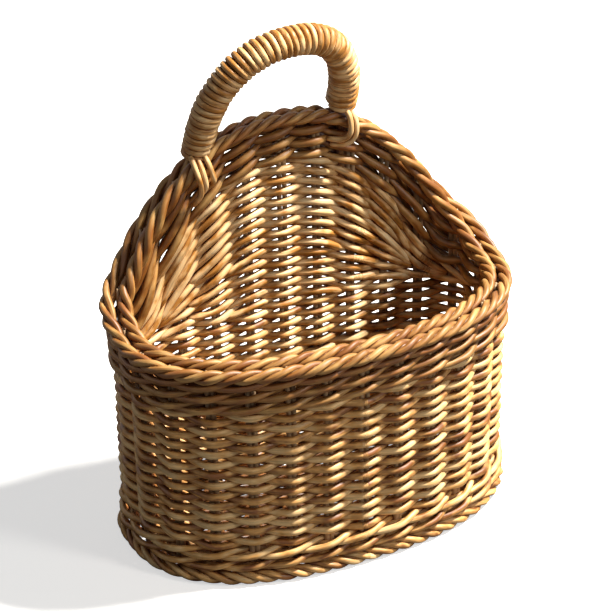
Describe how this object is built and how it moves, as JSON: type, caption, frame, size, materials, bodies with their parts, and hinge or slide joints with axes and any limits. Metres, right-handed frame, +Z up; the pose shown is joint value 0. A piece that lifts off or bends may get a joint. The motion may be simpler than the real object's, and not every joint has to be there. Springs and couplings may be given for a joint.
{
  "type": "wall basket",
  "caption": "D-shaped woven cane wall basket with a low front, a high curved back and a wrapped bow handle for hanging.",
  "frame": {"origin": "middle of the bounding box in plan, on the surface that the foot stands on", "axes": "+Z up; the low open front faces -Y and the flat back that lies against a wall faces +Y; +X is to the right as seen from the front"},
  "size_m": [0.2, 0.102, 0.2422],
  "materials": {
    "weave_cane": "satin",
    "rim_cane": "satin",
    "stake_cane": "satin",
    "handle_cane": "satin",
    "floor_cane": "satin"
  },
  "bodies": {
    "root": {"woven_floor": "floor_cane", "foot_border": "rim_cane", "foot_wale": "rim_cane", "wall_weave_level": "weave_cane", "wall_weave_back": "weave_cane", "rim_wale": "rim_cane", "rim_border_inner": "rim_cane", "rim_border_outer": "rim_cane", "handle_core": "handle_cane", "handle_winding": "handle_cane", "handle_lashing_left": "handle_cane", "handle_lashing_right": "handle_cane", "stake_pair_01": "stake_cane", "stake_pair_02": "stake_cane", "stake_pair_03": "stake_cane", "stake_pair_04": "stake_cane", "stake_pair_05": "stake_cane", "stake_pair_06": "stake_cane", "stake_pair_07": "stake_cane", "stake_pair_08": "stake_cane", "stake_pair_09": "stake_cane", "stake_pair_10": "stake_cane", "stake_pair_11": "stake_cane", "stake_pair_12": "stake_cane", "stake_pair_13": "stake_cane", "stake_pair_14": "stake_cane", "stake_pair_15": "stake_cane", "stake_pair_16": "stake_cane", "stake_pair_17": "stake_cane", "stake_pair_18": "stake_cane", "stake_pair_19": "stake_cane", "stake_pair_20": "stake_cane", "stake_pair_21": "stake_cane", "stake_pair_22": "stake_cane", "stake_pair_23": "stake_cane", "stake_pair_24": "stake_cane", "stake_pair_25": "stake_cane", "stake_pair_26": "stake_cane"}
  },
  "joints": []
}
